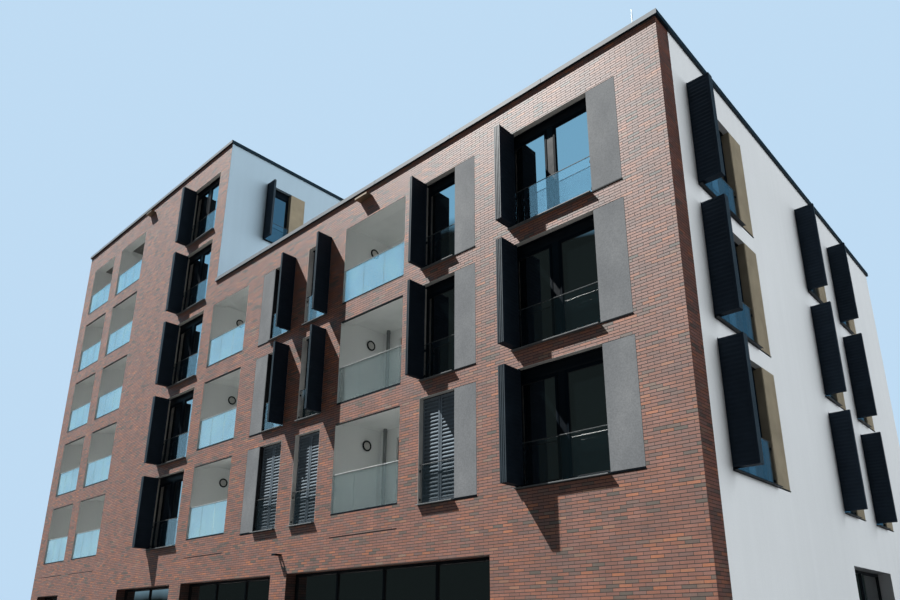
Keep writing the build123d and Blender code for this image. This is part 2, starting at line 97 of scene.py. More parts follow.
clamp_height = 0.05
clamp_places = (0.12, 0.85)
rail_inset = 0.010
rail_edge = 0.005
handrail_edge = 0.008
glass_joint = 0.010
panes_in_balustrade = 3
shoe_slot = 0.028
flange_thickness = 0.016
flange_reach = 0.060
under_parapet = 1.2  # a loggia head nearer than this to the top is in a top row
lamp_tube = 0.022
lamp_radius = 0.15
collar_proud = 0.006
collar_places = (0.12, 0.62, 0.97)
coping_sheet = 3.0
cover_width = 0.07
cover_proud = 0.003
floor_size = 400.0

# The camera of the photograph
camera_place = Vector((19.855, -18.53, 1.65))
camera_right = Vector((0.7379, 0.6749, -0.0013))
camera_down = Vector((-0.2133, 0.2314, -0.9492))
camera_ahead = Vector((-0.6403, 0.7007, 0.3147))
camera_lens = 28.72
camera_shift = (-0.0144, 0.1061)

# Light. Both fill and sun are sun lamps. What the building mirrors is a sky over a dark
# skyline. East is +X and north +Y here; a skyline height is the sine of its angle, and a
# heading is the east part of a level direction, -1 along the front to its left
sun_travel = Vector((1.74, 1.0, -2.78))
sun_strength = 7.2
sun_angle = math.radians(0.8)
sun_light = (1.0, 0.985, 0.95)
sky_light = (0.86, 0.94, 1.0)
sky_strength = 0.09
fill_travel = Vector((-1, -0.9, -0.3))
fill_strength = 4.35
fill_angle = math.radians(80)
fill_light = (0.90, 0.96, 1.0)
background = (0.52, 0.71, 0.90)
mirrored_sky = (0.31, 0.70, 1.02)
mirrored_haze = (0.46, 0.74, 0.92)
soft_mirror = 0.2  # how much of that sky rough surfaces get, glass gets it all
north_sky = (0.07, 0.20, 0.34)
haze_top = 0.45
street_end = (-0.89, 0.05)  # heading and skyline height
street_bend = (-0.82, 0.33)
street_side = (-0.70, math.sin(math.radians(31)))
north_turn = (-0.1, 0.1)  # north part of a direction, where what lies behind takes over
north_roofs = 0.2  # share of the skyline's height
skyline_ripple = 0.08
skyline_edge = (0.03, 0.05)
skyline_tone = (0.014, 0.020, 0.020)
floor_tone = 0.38
floor_bounce = 0.065  # the floor's tone for rays that light the building

Wall = namedtuple("Wall", "origin along out")
Rect = namedtuple("Rect", "left right bottom top")
Spot = namedtuple("Spot", "wall rect front back")
UP = Vector((0, 0, 1))

walls = {
    "front": Wall(Vector((-length / 2, -depth / 2, 0)), Vector((1, 0, 0)), Vector((0, -1, 0))),
    "right": Wall(Vector((length / 2, -depth / 2, 0)), Vector((0, 1, 0)), Vector((1, 0, 0))),
    "rear": Wall(Vector((length / 2, depth / 2, 0)), Vector((-1, 0, 0)), Vector((0, 1, 0))),
    "left": Wall(Vector((-length / 2, depth / 2, 0)), Vector((0, -1, 0)), Vector((-1, 0, 0))),
    "upper": Wall(Vector((party_x, -depth / 2, 0)), Vector((0, 1, 0)), Vector((1, 0, 0))),
}


# Where the CAD pieces are

def solids_of(node):
    """Lowest and highest corner of each solid in a CAD node."""
    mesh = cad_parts[node].data
    points = np.array([v.co for v in mesh.vertices])
    _, same = np.unique(points.round(4), axis=0, return_inverse=True)
    same = same.ravel()
    group = list(range(same.max() + 1))

    def root(i):
        while group[i] != i:
            group[i] = group[group[i]]
            i = group[i]
        return i

    for polygon in mesh.polygons:
        first = root(same[polygon.vertices[0]])
        for v in polygon.vertices[1:]:
            group[root(same[v])] = first
    label = np.array([root(i) for i in same])
    return [(points[label == k].min(0), points[label == k].max(0)) for k in sorted(set(label))]


def spots_of(node):
    """Each solid of a CAD node as a rectangle on the wall that it is nearest to."""
    found = []
    for low, high in solids_of(node):
        centre = Vector((low + high) / 2)
        choices = [w for name, w in walls.items() if name != "upper" or centre.z > low_top]
        wall = min(choices, key=lambda w: abs((centre - w.origin).dot(w.out)))
        ends = [Vector(low) - wall.origin, Vector(high) - wall.origin]
        along = sorted(e.dot(wall.along) for e in ends)
        out = sorted(e.dot(wall.out) for e in ends)
        rect = Rect(along[0], along[1], float(low[2]), float(high[2]))
        found.append(Spot(wall, rect, out[1], out[0]))
    return found


def touching(spot, others, margin=0.02):
    """The spots of the same wall that lie within this one's rectangle."""
    r = spot.rect
    return [o for o in others if o.wall is spot.wall
            and o.rect.left > r.left - margin and o.rect.right < r.right + margin
            and o.rect.bottom > r.bottom - margin and o.rect.top < r.top + margin]


def grown(rect, by):
    """A rectangle made larger on all sides."""
    return Rect(rect.left - by, rect.right + by, rect.bottom - by, rect.top + by)


# Drawing on the walls

class Shape:
    """Collects the faces of one piece."""

    def __init__(self):
        self.points = []
        self.faces = []
        self.slots = []

    def add(self, wall, points, faces, slot=0):
        first = len(self.points)
        self.points += [wall.origin + a * wall.along + z * UP + o * wall.out for a, z, o in points]
        self.faces += [[first + i for i in face] for face in faces]
        self.slots += [slot] * len(faces)

    def bar(self, wall, section, start, end, axis, slot=0):
        """A closed section carried straight along one axis of the wall.

        A section is of (out, up) points for a bar along the wall, of (along, out) points for
        one that stands up, and of (along, up) points for one that runs out of the wall."""
        order = {
            "along": lambda p, s: (s, p[1], p[0]),
            "up": lambda p, s: (p[0], s, p[1]),
            "out": lambda p, s: (p[0], p[1], s),
        }[axis]
        n = len(section)
        points = [order(p, s) for s in (start, end) for p in section]
        faces = [[i, (i + 1) % n, n + (i + 1) % n, n + i] for i in range(n)]
        faces += [list(range(n))[::-1], list(range(n, 2 * n))]
        self.add(wall, points, faces, slot)

    def block(self, wall, rect, front, back, slot=0, edge=chamfer):
        """A box on a wall with its long edges chamfered."""
        if rect.right - rect.left > rect.top - rect.bottom:
            self.bar(wall, cut(back, front, rect.bottom, rect.top, edge),
                     rect.left, rect.right, "along", slot)
        else:
            self.bar(wall, cut(rect.left, rect.right, back, front, edge),
                     rect.bottom, rect.top, "up", slot)

    def ring(self, wall, outer, inner, steps, slot=0):
        """A mitred frame between two rectangles. A step is (share of the way in, out)."""
        points = []
        for share, out in steps:
            left, right, bottom, top = (a + share * (b - a) for a, b in zip(outer, inner))
            points += [(left, bottom, out), (right, bottom, out),
                       (right, top, out), (left, top, out)]
        n = len(steps)
        faces = [[4 * i + k, 4 * i + (k + 1) % 4, 4 * j + (k + 1) % 4, 4 * j + k]
                 for i, j in ((i, (i + 1) % n) for i in range(n)) for k in range(4)]
        self.add(wall, points, faces, slot)

    def turned(self, wall, centre, profile, axis, slot=0, segments=32):
        """A profile of (distance, radius) points turned about the axis "along" or "up"."""
        points = []
        for distance, radius in profile:
            for k in range(segments):
                angle = 2 * math.pi * k / segments
                p, q = radius * math.cos(angle), radius * math.sin(angle)
                offset = (distance, q, p) if axis == "along" else (p, distance, q)
                points.append(tuple(c + d for c, d in zip(centre, offset)))
        faces = [[i * segments + k, i * segments + (k + 1) % segments,
                  (i + 1) * segments + (k + 1) % segments, (i + 1) * segments + k]
                 for i in range(len(profile) - 1) for k in range(segments)]
        last = (len(profile) - 1) * segments
        faces += [list(range(segments))[::-1], list(range(last, last + segments))]
        self.add(wall, points, faces, slot)


def cut(a0, a1, b0, b1, edge=chamfer):
    """A rectangle as a section, with its corners cut."""
    e = min(edge, (a1 - a0) / 3, (b1 - b0) / 3)
    return [(a0 + e, b0), (a1 - e, b0), (a1, b0 + e), (a1, b1 - e),
            (a1 - e, b1), (a0 + e, b1), (a0, b1 - e), (a0, b0 + e)]


def piece(name, shape, materials, replaces=()):
    """Turn what was collected into an object that rides on the building."""
    mesh = bpy.data.meshes.new(name)
    mesh.from_pydata([tuple(p) for p in shape.points], [], shape.faces)
    for material in materials:
        mesh.materials.append(material)
    mesh.polygons.foreach_set("material_index", shape.slots)
    work = bmesh.new()
    work.from_mesh(mesh)
    bmesh.ops.recalc_face_normals(work, faces=work.faces)
    work.to_mesh(mesh)
    work.free()
    mesh.validate()
    built = bpy.data.objects.new(name, mesh)
    bpy.context.scene.collection.objects.link(built)
    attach(built, "root")
    if replaces:
        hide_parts(*replaces)
    return built


# Materials

class Nodes:
    """A node tree, with short ways to add what most of them need."""

    def __init__(self, tree, coordinates):
        self.tree = tree
        self.place = self.node("ShaderNodeTexCoord").outputs[coordinates]

    def node(self, kind, **settings):
        made = self.tree.nodes.new(kind)
        for key, value in settings.items():
            setattr(made, key, value)
        return made

    def set(self, socket, value):
        """Give an input a value, a colour or a link."""
        if isinstance(value, bpy.types.NodeSocket):
            self.tree.links.new(value, socket)
        elif socket.type == "RGBA":
            socket.default_value = (*value, 1)
        else:
            socket.default_value = value

    def math(self, operation, *values):
        made = self.node("ShaderNodeMath", operation=operation)
        for socket, value in zip(made.inputs, values):
            self.set(socket, value)
        return made.outputs[0]

    def range(self, value, low, high, start, end):
        """From start at low to end at high, and held there beyond them."""
        made = self.node("ShaderNodeMapRange")
        numbers = {"Value": value, "From Min": low, "From Max": high,
                   "To Min": start, "To Max": end}
        for key, number in numbers.items():
            self.set(made.inputs[key], number)
        return made.outputs[0]

    def mix(self, share, a, b, blend="MIX"):
        made = self.node("ShaderNodeMix", data_type="RGBA", blend_type=blend)
        for socket, value in zip((made.inputs[0], made.inputs[6], made.inputs[7]), (share, a, b)):
            self.set(socket, value)
        return made.outputs[2]

    def noise(self, scale, detail=3.0, where=None):
        made = self.node("ShaderNodeTexNoise")
        self.set(made.inputs["Vector"], where or self.place)
        self.set(made.inputs["Scale"], scale)
        self.set(made.inputs["Detail"], detail)
        return made.outputs["Fac"]

    def parts(self, vector):
        """The x, y and z of a vector."""
        made = self.node("ShaderNodeSeparateXYZ")
        self.set(made.inputs[0], vector)
        return made.outputs


class Surface(Nodes):
    """The nodes of a material."""

    def __init__(self, name, roughness=0.6, metallic=0.0, ior=1.5):
        self.material = bpy.data.materials.new(name)
        self.material.use_nodes = True
        super().__init__(self.material.node_tree, "Object")
        self.shader = self.tree.nodes["Principled BSDF"]
        self.give("Roughness", roughness)
        self.give("Metallic", metallic)
        self.give("IOR", ior)

    def give(self, name, value):
        self.set(self.shader.inputs[name], value)

    def stretched(self, scale):
        made = self.node("ShaderNodeMapping")
        self.set(made.inputs["Vector"], self.place)
        self.set(made.inputs["Scale"], scale)
        return made.outputs[0]

    def ramp(self, value, stops):
        made = self.node("ShaderNodeValToRGB")
        elements = made.color_ramp.elements
        while len(elements) < len(stops):
            elements.new(0.5)
        for element, (position, colour) in zip(elements, stops):
            element.position = position
            element.color = (*colour, 1)
        self.set(made.inputs[0], value)
        return made.outputs[0]

    def shaded(self, tone, value, low, high):
        """A tone made darker and paler by noise, which mostly stays between 0.3 and 0.7."""
        grey = self.ramp(value, [(0.3, (low,) * 3), (0.7, (high,) * 3)])
        return self.mix(1.0, tone, grey, "MULTIPLY")

    def bump(self, height, distance, strength):
        made = self.node("ShaderNodeBump")
        self.set(made.inputs["Height"], height)
        self.set(made.inputs["Distance"], distance)
        self.set(made.inputs["Strength"], strength)
        self.give("Normal", made.outputs[0])

    def normal(self):
        """The x, y and z of the way a surface faces."""
        return self.parts(self.node("ShaderNodeNewGeometry").outputs["True Normal"])

    def side(self, axis):
        """1 where the surface faces along an axis, either way, and 0 elsewhere."""
        return self.math("GREATER_THAN", self.math("ABSOLUTE", self.normal()[axis]), 0.6)

    def finished(self, tone):
        self.give("Base Color", tone)
        return self.material


def brick_material(name, lines_loggias):
    """Long thin bricks in running bond, each in its own tone, with dark recessed joints.

    The texture is stretched along the wall, so that upright joints are thinner than level ones.
    Moved by whole bricks it gives the same joints with other tones."""
    s = Surface(name, ior=1.92)
    s.give("Specular Tint", (0.84, 0.96, 1.0))
    x, y, z = s.parts(s.place)
    faces_x, faces_z = s.side(0), s.side(2)
    across = s.math("ADD", s.math("MULTIPLY", x, s.math("SUBTRACT", 1.0, faces_x)),
                    s.math("MULTIPLY", y, faces_x))
    height = s.math("ADD", s.math("MULTIPLY", z, s.math("SUBTRACT", 1.0, faces_z)),
                    s.math("MULTIPLY", y, faces_z))
    flat = s.node("ShaderNodeCombineXYZ")
    s.set(flat.inputs[0], s.math("MULTIPLY", across, brick_stretch))
    s.set(flat.inputs[1], height)

    def courses(shift):
        moved = s.node("ShaderNodeVectorMath", operation="ADD")
        s.set(moved.inputs[0], flat.outputs[0])
        s.set(moved.inputs[1], (shift * brick_length * brick_stretch, 2 * shift * brick_course, 0))
        made = s.node("ShaderNodeTexBrick", offset=0.5, offset_frequency=2, squash=1.0)
        settings = {
            "Vector": moved.outputs[0], "Scale": 1.0, "Color1": (0, 0, 0), "Color2": (1, 1, 1),
            "Mortar": (0.5, 0.5, 0.5), "Mortar Size": brick_joint / 2, "Mortar Smooth": 0.15,
            "Brick Width": brick_length * brick_stretch, "Row Height": brick_course}
        for key, value in settings.items():
            s.set(made.inputs[key], value)
        return made.outputs

    first, second = courses(1000), courses(1040)
    tone = s.ramp(first["Color"], [
        (0.00, (0.140, 0.102, 0.074)), (0.14, (0.262, 0.128, 0.098)),
        (0.30, (0.330, 0.124, 0.078)), (0.50, (0.308, 0.134, 0.098)),
        (0.68, (0.380, 0.132, 0.070)), (0.84, (0.332, 0.130, 0.086)),
        (0.94, (0.490, 0.162, 0.066)), (1.00, (0.290, 0.175, 0.122))])
    lighter = s.ramp(second["Color"], [(0.0, (0.86,) * 3), (1.0, (1.14,) * 3)])
    tone = s.mix(1.0, tone, lighter, "MULTIPLY")
    tone = s.shaded(tone, s.noise(90.0, 4.0), 0.86, 1.14)
    tone = s.shaded(tone, s.noise(2.2, 3.0), 0.86, 1.14)
    # bricks that face along X are darkened to about 37 % of their tone: painted shade on the
    # returns
    tone = s.mix(faces_x, tone, s.mix(1.0, tone, (0.37, 0.36, 0.38), "MULTIPLY"))
    joint = s.mix(s.noise(60.0), (0.020, 0.014, 0.012), (0.045, 0.034, 0.030))
    wall = s.mix(first["Fac"], tone, joint)
    grain = s.math("MULTIPLY", s.noise(120.0, 5.0), 0.30)
    s.bump(s.math("SUBTRACT", grain, first["Fac"]), 0.006, 0.9)
    s.give("Roughness", s.range(first["Fac"], 0.0, 1.0, 0.58, 0.95))
    if lines_loggias:
        # inside the loggias the walls are plastered up to the face of the brick, and the
        # party wall's end above the low roof gets the bluish tone of the upper render round it, a
        # painted shade
        inside = s.math("GREATER_THAN", y, 0.004 - depth / 2)
        aloft = s.math("GREATER_THAN", z, shop_head + 0.3)
        between_ends = s.math("LESS_THAN", s.math("ABSOLUTE", x), length / 2 - 0.01)
        share = s.math("MULTIPLY", s.math("MULTIPLY", inside, aloft), between_ends)
        s.give("Specular IOR Level", s.math("MULTIPLY_ADD", share, -0.45, 0.5))
        wall = s.mix(share, wall, plastered_return_tone)
        from_party = s.math("ABSOLUTE", s.math("SUBTRACT", x, party_x))
        party_end = s.math("MULTIPLY", s.math("LESS_THAN", from_party, 0.01), faces_x)
        above_roof = s.math("GREATER_THAN", z, low_top - 0.5)
        party_end = s.math("MULTIPLY", party_end, above_roof)
        wall = s.mix(s.math("MULTIPLY", share, party_end), wall, upper_gable_painted_shade_tone)
    return s.finished(wall)


def render_material(name, colour, grain, stain):
    """Fine mineral render or plaster: a soft grain, faint clouds and rain streaks."""
    s = Surface(name, roughness=0.92)
    tone = s.shaded(colour, s.noise(0.35, 4.0), 1.0 - stain, 1.0)
    streaks = s.noise(1.0, 5.0, s.stretched((5.0, 5.0, 0.25)))
    tone = s.mix(0.6, tone, s.shaded(tone, streaks, 1.0 - stain, 1.0))
    tone = s.shaded(tone, s.noise(grain, 3.0), 0.96, 1.03)
    s.bump(s.noise(grain, 6.0), 0.0025, 0.7)
    return s.finished(tone)


def paint_material(name, colour, roughness, metallic=0.0, ior=1.5):
    """Powder coat or satin metal with a fine orange peel and slight wear of tone."""
    s = Surface(name, metallic=metallic, ior=ior)
    tone = s.shaded(colour, s.noise(2.3, 3.0), 0.88, 1.12)
    tone = s.shaded(tone, s.noise(260.0, 2.0), 0.94, 1.06)
    s.give("Roughness", s.range(s.noise(7.0, 4.0), 0.0, 1.0, roughness - 0.06, roughness + 0.10))
    s.bump(s.noise(260.0, 2.0), 0.0004, 0.5)
    return s.finished(tone)


def glass_material(name, colour, ior, metallic=0.0, mirror=None):
    """Glass with faint ripples and a film of dust. With a mirror share it is clear in between."""
    s = Surface(name, roughness=0.0, metallic=metallic, ior=ior)
    tone = s.shaded(colour, s.noise(0.8, 3.0), 0.88, 1.12)
    s.bump(s.noise(1.6, 1.0), 0.002, 0.35)
    if mirror:
        edge_on = s.node("ShaderNodeLayerWeight")
        s.set(edge_on.inputs["Blend"], 0.5)
        steep = s.math("POWER", edge_on.outputs["Facing"], 5.0)
        s.give("Alpha", s.math("MULTIPLY_ADD", steep, 1.0 - mirror, mirror))
    return s.finished(tone)


def panel_material():
    """Cloudy fibre cement board."""
    s = Surface("fibre_cement", roughness=0.75, ior=1.25)
    tone = s.ramp(s.noise(1.7, 6.0, s.stretched((1.0, 1.0, 0.6))), [
        (0.30, (0.205, 0.220, 0.238)), (0.55, (0.246, 0.262, 0.280)),
        (0.75, (0.290, 0.306, 0.324))])
    tone = s.shaded(tone, s.noise(34.0, 5.0), 0.86, 1.12)
    s.bump(s.noise(150.0, 4.0), 0.0006, 0.6)
    return s.finished(tone)


def gravel_material():
    """Rounded roof gravel."""
    s = Surface("roof_gravel", roughness=0.9)
    stones = s.node("ShaderNodeTexVoronoi")
    s.set(stones.inputs["Vector"], s.place)
    s.set(stones.inputs["Scale"], 28.0)
    parts = s.node("ShaderNodeSeparateColor")
    s.set(parts.inputs[0], stones.outputs["Color"])
    tone = s.ramp(parts.outputs[0], [
        (0.0, (0.20, 0.19, 0.18)), (0.5, (0.34, 0.33, 0.31)), (1.0, (0.52, 0.50, 0.47))])
    # darker towards each stone's edge: painted shade in the gaps between stones
    tone = s.mix(stones.outputs["Distance"], tone, (0.08, 0.08, 0.08))
    s.bump(s.math("SUBTRACT", 1.0, stones.outputs["Distance"]), 0.02, 0.8)
    return s.finished(tone)


def floor_plate_material():
    """Pale plaster on the soffits of the floors and screed on their tops."""
    s = Surface("soffit_and_screed", roughness=0.9)
    upward = s.math("GREATER_THAN", s.normal()[2], 0.5)
    tone = s.mix(upward, (0.93, 0.95, 0.94), (0.82, 0.84, 0.83))
    tone = s.shaded(tone, s.noise(1.3, 5.0), 0.90, 1.04)
    s.bump(s.noise(60.0, 5.0), 0.001, 0.5)
    return s.finished(tone)


def coping_material(name, front_painted_glint_tone, colour):
    """Folded sheet metal, with a paler tone on the fascia of the front: a painted highlight of the
    sun.
    """
    s = Surface(name, roughness=0.55, ior=1.3)
    # faces towards the front get the pale tone, a painted highlight of the sun; the others keep the
    # dark tone
    on_front = s.math("LESS_THAN", s.normal()[1], -0.5)
    tone = s.mix(on_front, colour, front_painted_glint_tone)
    tone = s.shaded(tone, s.noise(1.1, 4.0), 0.90, 1.08)
    s.bump(s.noise(3.0, 2.0), 0.003, 0.3)
    return s.finished(tone)


plastered_return_tone = (0.92, 0.94, 0.93)
# a bluish grey written for white render: painted shade on the upper gable and the party wall's end
upper_gable_painted_shade_tone = (0.43, 0.56, 0.66)
brick = brick_material("facing_brick", True)
brick_corner = brick_material("facing_brick_return", False)
white_render = render_material("white_render", (0.80, 0.81, 0.82), 70.0, 0.05)
# the upper gable's white render in the bluish painted shade tone
upper_gable_painted_shade_render = render_material("upper_gable_painted_shade_render", upper_gable_painted_shade_tone, 70.0, 0.05)
# the left gable's render is written darker than the white render: painted shade that offsets the
# sun on it
left_gable_render_painted_shade = render_material("left_gable_render_painted_shade", (0.64, 0.65, 0.66), 70.0, 0.05)
plaster = render_material("loggia_plaster", (0.94, 0.96, 0.95), 110.0, 0.03)
reveal_lining = paint_material("reveal_lining", (0.88, 0.85, 0.80), 0.3, ior=1.9)
dark_metal = paint_material("anthracite_coat", (0.004, 0.008, 0.013), 0.36, ior=1.25)
sash_coat = paint_material("sash_coat", (0.003, 0.008, 0.014), 0.55, ior=1.12)
gasket = paint_material("black_gasket", (0.010, 0.010, 0.012), 0.7)
shutter_coat = paint_material("shutter_coat", (0.018, 0.030, 0.047), 0.6, ior=1.22)
# a paler tone for the leaves' outer edges: a painted highlight of the sun on them
shutter_edge_painted_highlight = paint_material("shutter_edge_painted_highlight", (0.040, 0.060, 0.078), 0.38)
# the closed shutters' slats and frames are far paler than the open leaves' coat: painted sunlight
# and glint on the same shutters
shutter_slat_painted_light = paint_material("shutter_slat_painted_light", (0.170, 0.220, 0.265), 0.65, ior=1.3)
shutter_back_painted_light = paint_material("shutter_back_painted_light", (0.140, 0.180, 0.220), 0.5)
# a paler grey for the front sills only: painted sunlight
front_sill_painted_light_grey = paint_material("front_sill_painted_light_coat", (0.16, 0.175, 0.185), 0.45)
rail_grey = paint_material("rail_grey_coat", (0.07, 0.08, 0.085), 0.4)
pipe_grey = paint_material("pipe_grey", (0.20, 0.215, 0.22), 0.5)
pale_metal = paint_material("satin_aluminium", (0.60, 0.62, 0.63), 0.30, metallic=0.7)
zinc = paint_material("spout_zinc", (0.24, 0.19, 0.13), 0.45, metallic=0.5)
khaki = paint_material("ribbed_bronze_coat", (0.385, 0.325, 0.235), 0.6)
window_glass = glass_material("window_glass", (0.004, 0.007, 0.008), 6.0)
guard_glass = glass_material("guard_glass", (0.002, 0.03, 0.05), 12.0, 0.0, 0.15)
balustrade_glass = glass_material("balustrade_glass", (0.75, 0.95, 1.0), 1.5, 0.75, 0.37)
opal = render_material("opal_diffuser", (0.62, 0.61, 0.58), 200.0, 0.03)
fibre_cement = panel_material()
gravel = gravel_material()
floor_plate = floor_plate_material()
# the pale first tone is the painted sun highlight on the front fascias
coping_metal = coping_material("coping_metal", (0.26, 0.29, 0.32), (0.010, 0.024, 0.036))

finishes = {
    brick: ["front_wall_right", "front_wall_middle", "front_wall_tower", "front_piers",
            "loggia_spandrels", "shop_piers"],
    brick_corner: ["brick_returns"],
    white_render: ["right_gable_wall", "rear_wall_low", "rear_wall_high"],
    left_gable_render_painted_shade: ["left_gable_wall"],
    upper_gable_painted_shade_render: ["upper_gable_wall"],
    plaster: ["loggia_side_walls", "loggia_back_walls"],
    floor_plate: ["floor_slabs", "ground_floor_slab"],
    gravel: ["low_roof", "high_roof"],
    coping_metal: ["low_coping", "high_coping"],
    window_glass: ["front_window_glass", "side_window_glass", "loggia_door_glass", "shop_glass"],
    guard_glass: ["guard_glass"],
    dark_metal: ["lamp_bracket"],
    pale_metal: ["roof_rod"],
    pipe_grey: ["downpipes"],
    zinc: ["roof_spouts"],
}
for finish, nodes in finishes.items():
    for name in nodes:
        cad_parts[name].data.materials.clear()
        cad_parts[name].data.materials.append(finish)

# Window frames: an outer frame, mullions, and a sash with a bead round each pane

frame_spots = spots_of("front_window_frames") + spots_of("side_window_frames")
pane_spots = spots_of("front_window_glass") + spots_of("side_window_glass")
panel_spots = spots_of("front_infill_panels") + spots_of("side_infill_panels")


def draw_glazed_frame(shape, spot, panes, sash_width=sash):
    """A frame round its panes. Slot 1 is the gasket at the glass, slot 2 the sash."""
    wall, rect, front, back = spot
    panes = sorted(panes, key=lambda p: p.rect.left)
    sashes = [grown(p.rect, sash_width) for p in panes]
    opening = Rect(sashes[0].left, sashes[-1].right, sashes[0].bottom, sashes[0].top)
    bevel = front - frame_edge
    shape.ring(wall, rect, opening, [
        (0, back), (0, bevel), (0.05, front), (0.92, front), (1, bevel), (1, back)])
    for before, after in zip(sashes, sashes[1:]):
        shape.bar(wall, cut(before.right, after.left, back, front, frame_edge),
                  opening.bottom, opening.top, "up")
    for outer, pane in zip(sashes, panes):
        proud = front + sash_proud
        glass = pane.front
        shape.ring(wall, grown(outer, -0.003), grown(pane.rect, glass_lap), [
            (0, back + 0.01), (0, proud - 0.005), (0.12, proud), (0.70, proud),
            (1, glass + 0.012), (1, back + 0.01)], 2)
        shape.ring(wall, grown(pane.rect, glass_lap), grown(pane.rect, -0.006), [
            (0, glass + 0.001), (0, glass + 0.011), (0.5, glass + 0.009), (1, glass + 0.001)], 1)


windows = Shape()
for spot in frame_spots:
    draw_glazed_frame(windows, spot, touching(spot, pane_spots), window_sash)
piece("window_frames", windows, [dark_metal, gasket, sash_coat],
      ["front_window_frames", "side_window_frames"])

doors = Shape()
door_panes = spots_of("loggia_door_glass")
for spot in spots_of("loggia_door_frames"):
    draw_glazed_frame(doors, spot, touching(spot, door_panes))
    handle = spot.rect.left + handle_inset
    level = spot.rect.bottom + handle_height
    out = spot.front + 0.012
    doors.bar(spot.wall, cut(handle - 0.012, handle + 0.012, out, out + 0.03),
              level - 0.02, level + 0.14, "up")
piece("loggia_doors", doors, [dark_metal, gasket, dark_metal], ["loggia_door_frames"])

shops = Shape()
shop_panes = spots_of("shop_glass")
for spot in spots_of("shop_frames"):
    draw_glazed_frame(shops, spot, touching(spot, shop_panes))
    kick = Rect(spot.rect.left + 0.02, spot.rect.right - 0.02,
                spot.rect.bottom, spot.rect.bottom + kick_height)
    shops.block(spot.wall, kick, spot.front + 0.012, spot.front)
piece("shopfront_frames", shops, [dark_metal, gasket, dark_metal], ["shop_frames"])

# Sills: folded sheet with a fall, a drip edge and upstands at the ends; a thin one under a panel

sills = Shape()
for wall, rect, front, back in frame_spots:
    top = rect.bottom
    lip = top - sill_lip
    # front sills get the paler grey and side sills the dark coat: painted sun on the front, painted
    # shade on the sides
    finish = 0 if wall is walls["front"] else 1
    nose = sill_projection
    fold = [(back, top), (nose - 0.003, top - 0.008), (nose, top - 0.011), (nose, lip),
            (nose - sill_sheet, lip), (nose - sill_sheet, top - 0.016), (back, top - 0.026)]
    sills.bar(wall, fold, rect.left, rect.right, "along", finish)
    for end in (rect.left, rect.right - sill_sheet):
        upstand = [(front, top), (0.0, top - 0.004), (0.0, top + 0.012), (front, top + 0.016)]
        sills.bar(wall, upstand, end, end + sill_sheet, "along", finish)
for wall, rect, front, back in panel_spots:
    top = rect.bottom
    nose = panel_sill_projection
    fold = [(back, top), (nose, top - 0.002), (nose, top - 0.022), (nose - 0.004, top - 0.022),
            (nose - 0.004, top - 0.006), (back, top - 0.024)]
    sills.bar(wall, fold, rect.left, rect.right, "along", 1)
piece("folded_sills", sills, [front_sill_painted_light_grey, dark_metal], ["window_sills"])

# Panels beside the windows: boards with open joints on the brick front, ribbed sheet elsewhere

boards = Shape()
ribbed = Shape()
for spot in panel_spots:
    wall, rect, front, back = spot
    if wall is walls["front"]:
        board = Rect(rect.left + board_gap, rect.right - board_gap,
                     rect.bottom + 0.012, rect.top - 0.014)
        boards.block(wall, rect, front - 0.020, back, 1)
        boards.block(wall, board, front, front - board_thickness, 0, fine_edge)
    else:
        count = round((rect.right - rect.left) / rib_pitch)
        step = (rect.right - rect.left) / count
        line = [(rect.left, back)]
        for k in range(count):
            a = rect.left + k * step
            line += [(a, front - rib_depth), (a + 0.22 * step, front - rib_depth),
                     (a + 0.34 * step, front), (a + 0.88 * step, front)]
        line += [(rect.right, front - rib_depth), (rect.right, back)]
        ribbed.bar(wall, line, rect.bottom, rect.top, "up")
piece("fibre_cement_boards", boards, [fibre_cement, gasket], ["front_infill_panels"])
piece("ribbed_panels", ribbed, [khaki], ["side_infill_panels"])

# Pale linings of the reveals on the brick front, and guide rails for the shutters

linings = Shape()
guides = Shape()
for wall, rect, front, back in frame_spots:
    guide = cut(-leaf_setback - leaf_thickness, -leaf_setback + 0.004,
                rect.top - guide_height, rect.top)
    guides.bar(wall, guide, rect.left, rect.right, "along")
    if wall is not walls["front"]:
        continue
    beside = [p.rect for p in panel_spots if p.wall is wall and abs(p.rect.top - rect.top) < 0.01
              and p.rect.left < rect.right + 0.02 and p.rect.right > rect.left - 0.02]
    under = rect.top - lining
    linings.bar(wall, [(front, rect.top), (0.0, rect.top), (0.0, under), (front, under)],
                rect.left, rect.right, "along")
    for edge, inward in ((rect.left, lining), (rect.right, -lining)):
        if all(abs(edge - e) > 0.01 for panel in beside for e in (panel.left, panel.right)):
            sheet = [(edge, front), (edge, 0.0), (edge + inward, 0.0), (edge + inward, front)]
            linings.bar(wall, sheet, rect.bottom, rect.top, "up")
piece("reveal_linings", linings, [reveal_lining])
piece("shutter_guides", guides, [dark_metal])


# Shutters

def draw_slats(shape, wall, leaf, bottom, top, slot):
    """Slanting slats, each lower at its outer edge.

    The leaf is (outer edge, inner edge, start, end, axis)."""
    outer, inner, start, end, axis = leaf
    count = int((top - bottom) / slat_pitch)
    for k in range(count):
        base = bottom + (k + 0.16) * (top - bottom) / count
        section = [(outer, base), (outer, base + slat_lip),
                   (inner, base + slat_rise + slat_thickness), (inner, base + slat_rise)]
        shape.bar(wall, section, start, end, axis, slot)


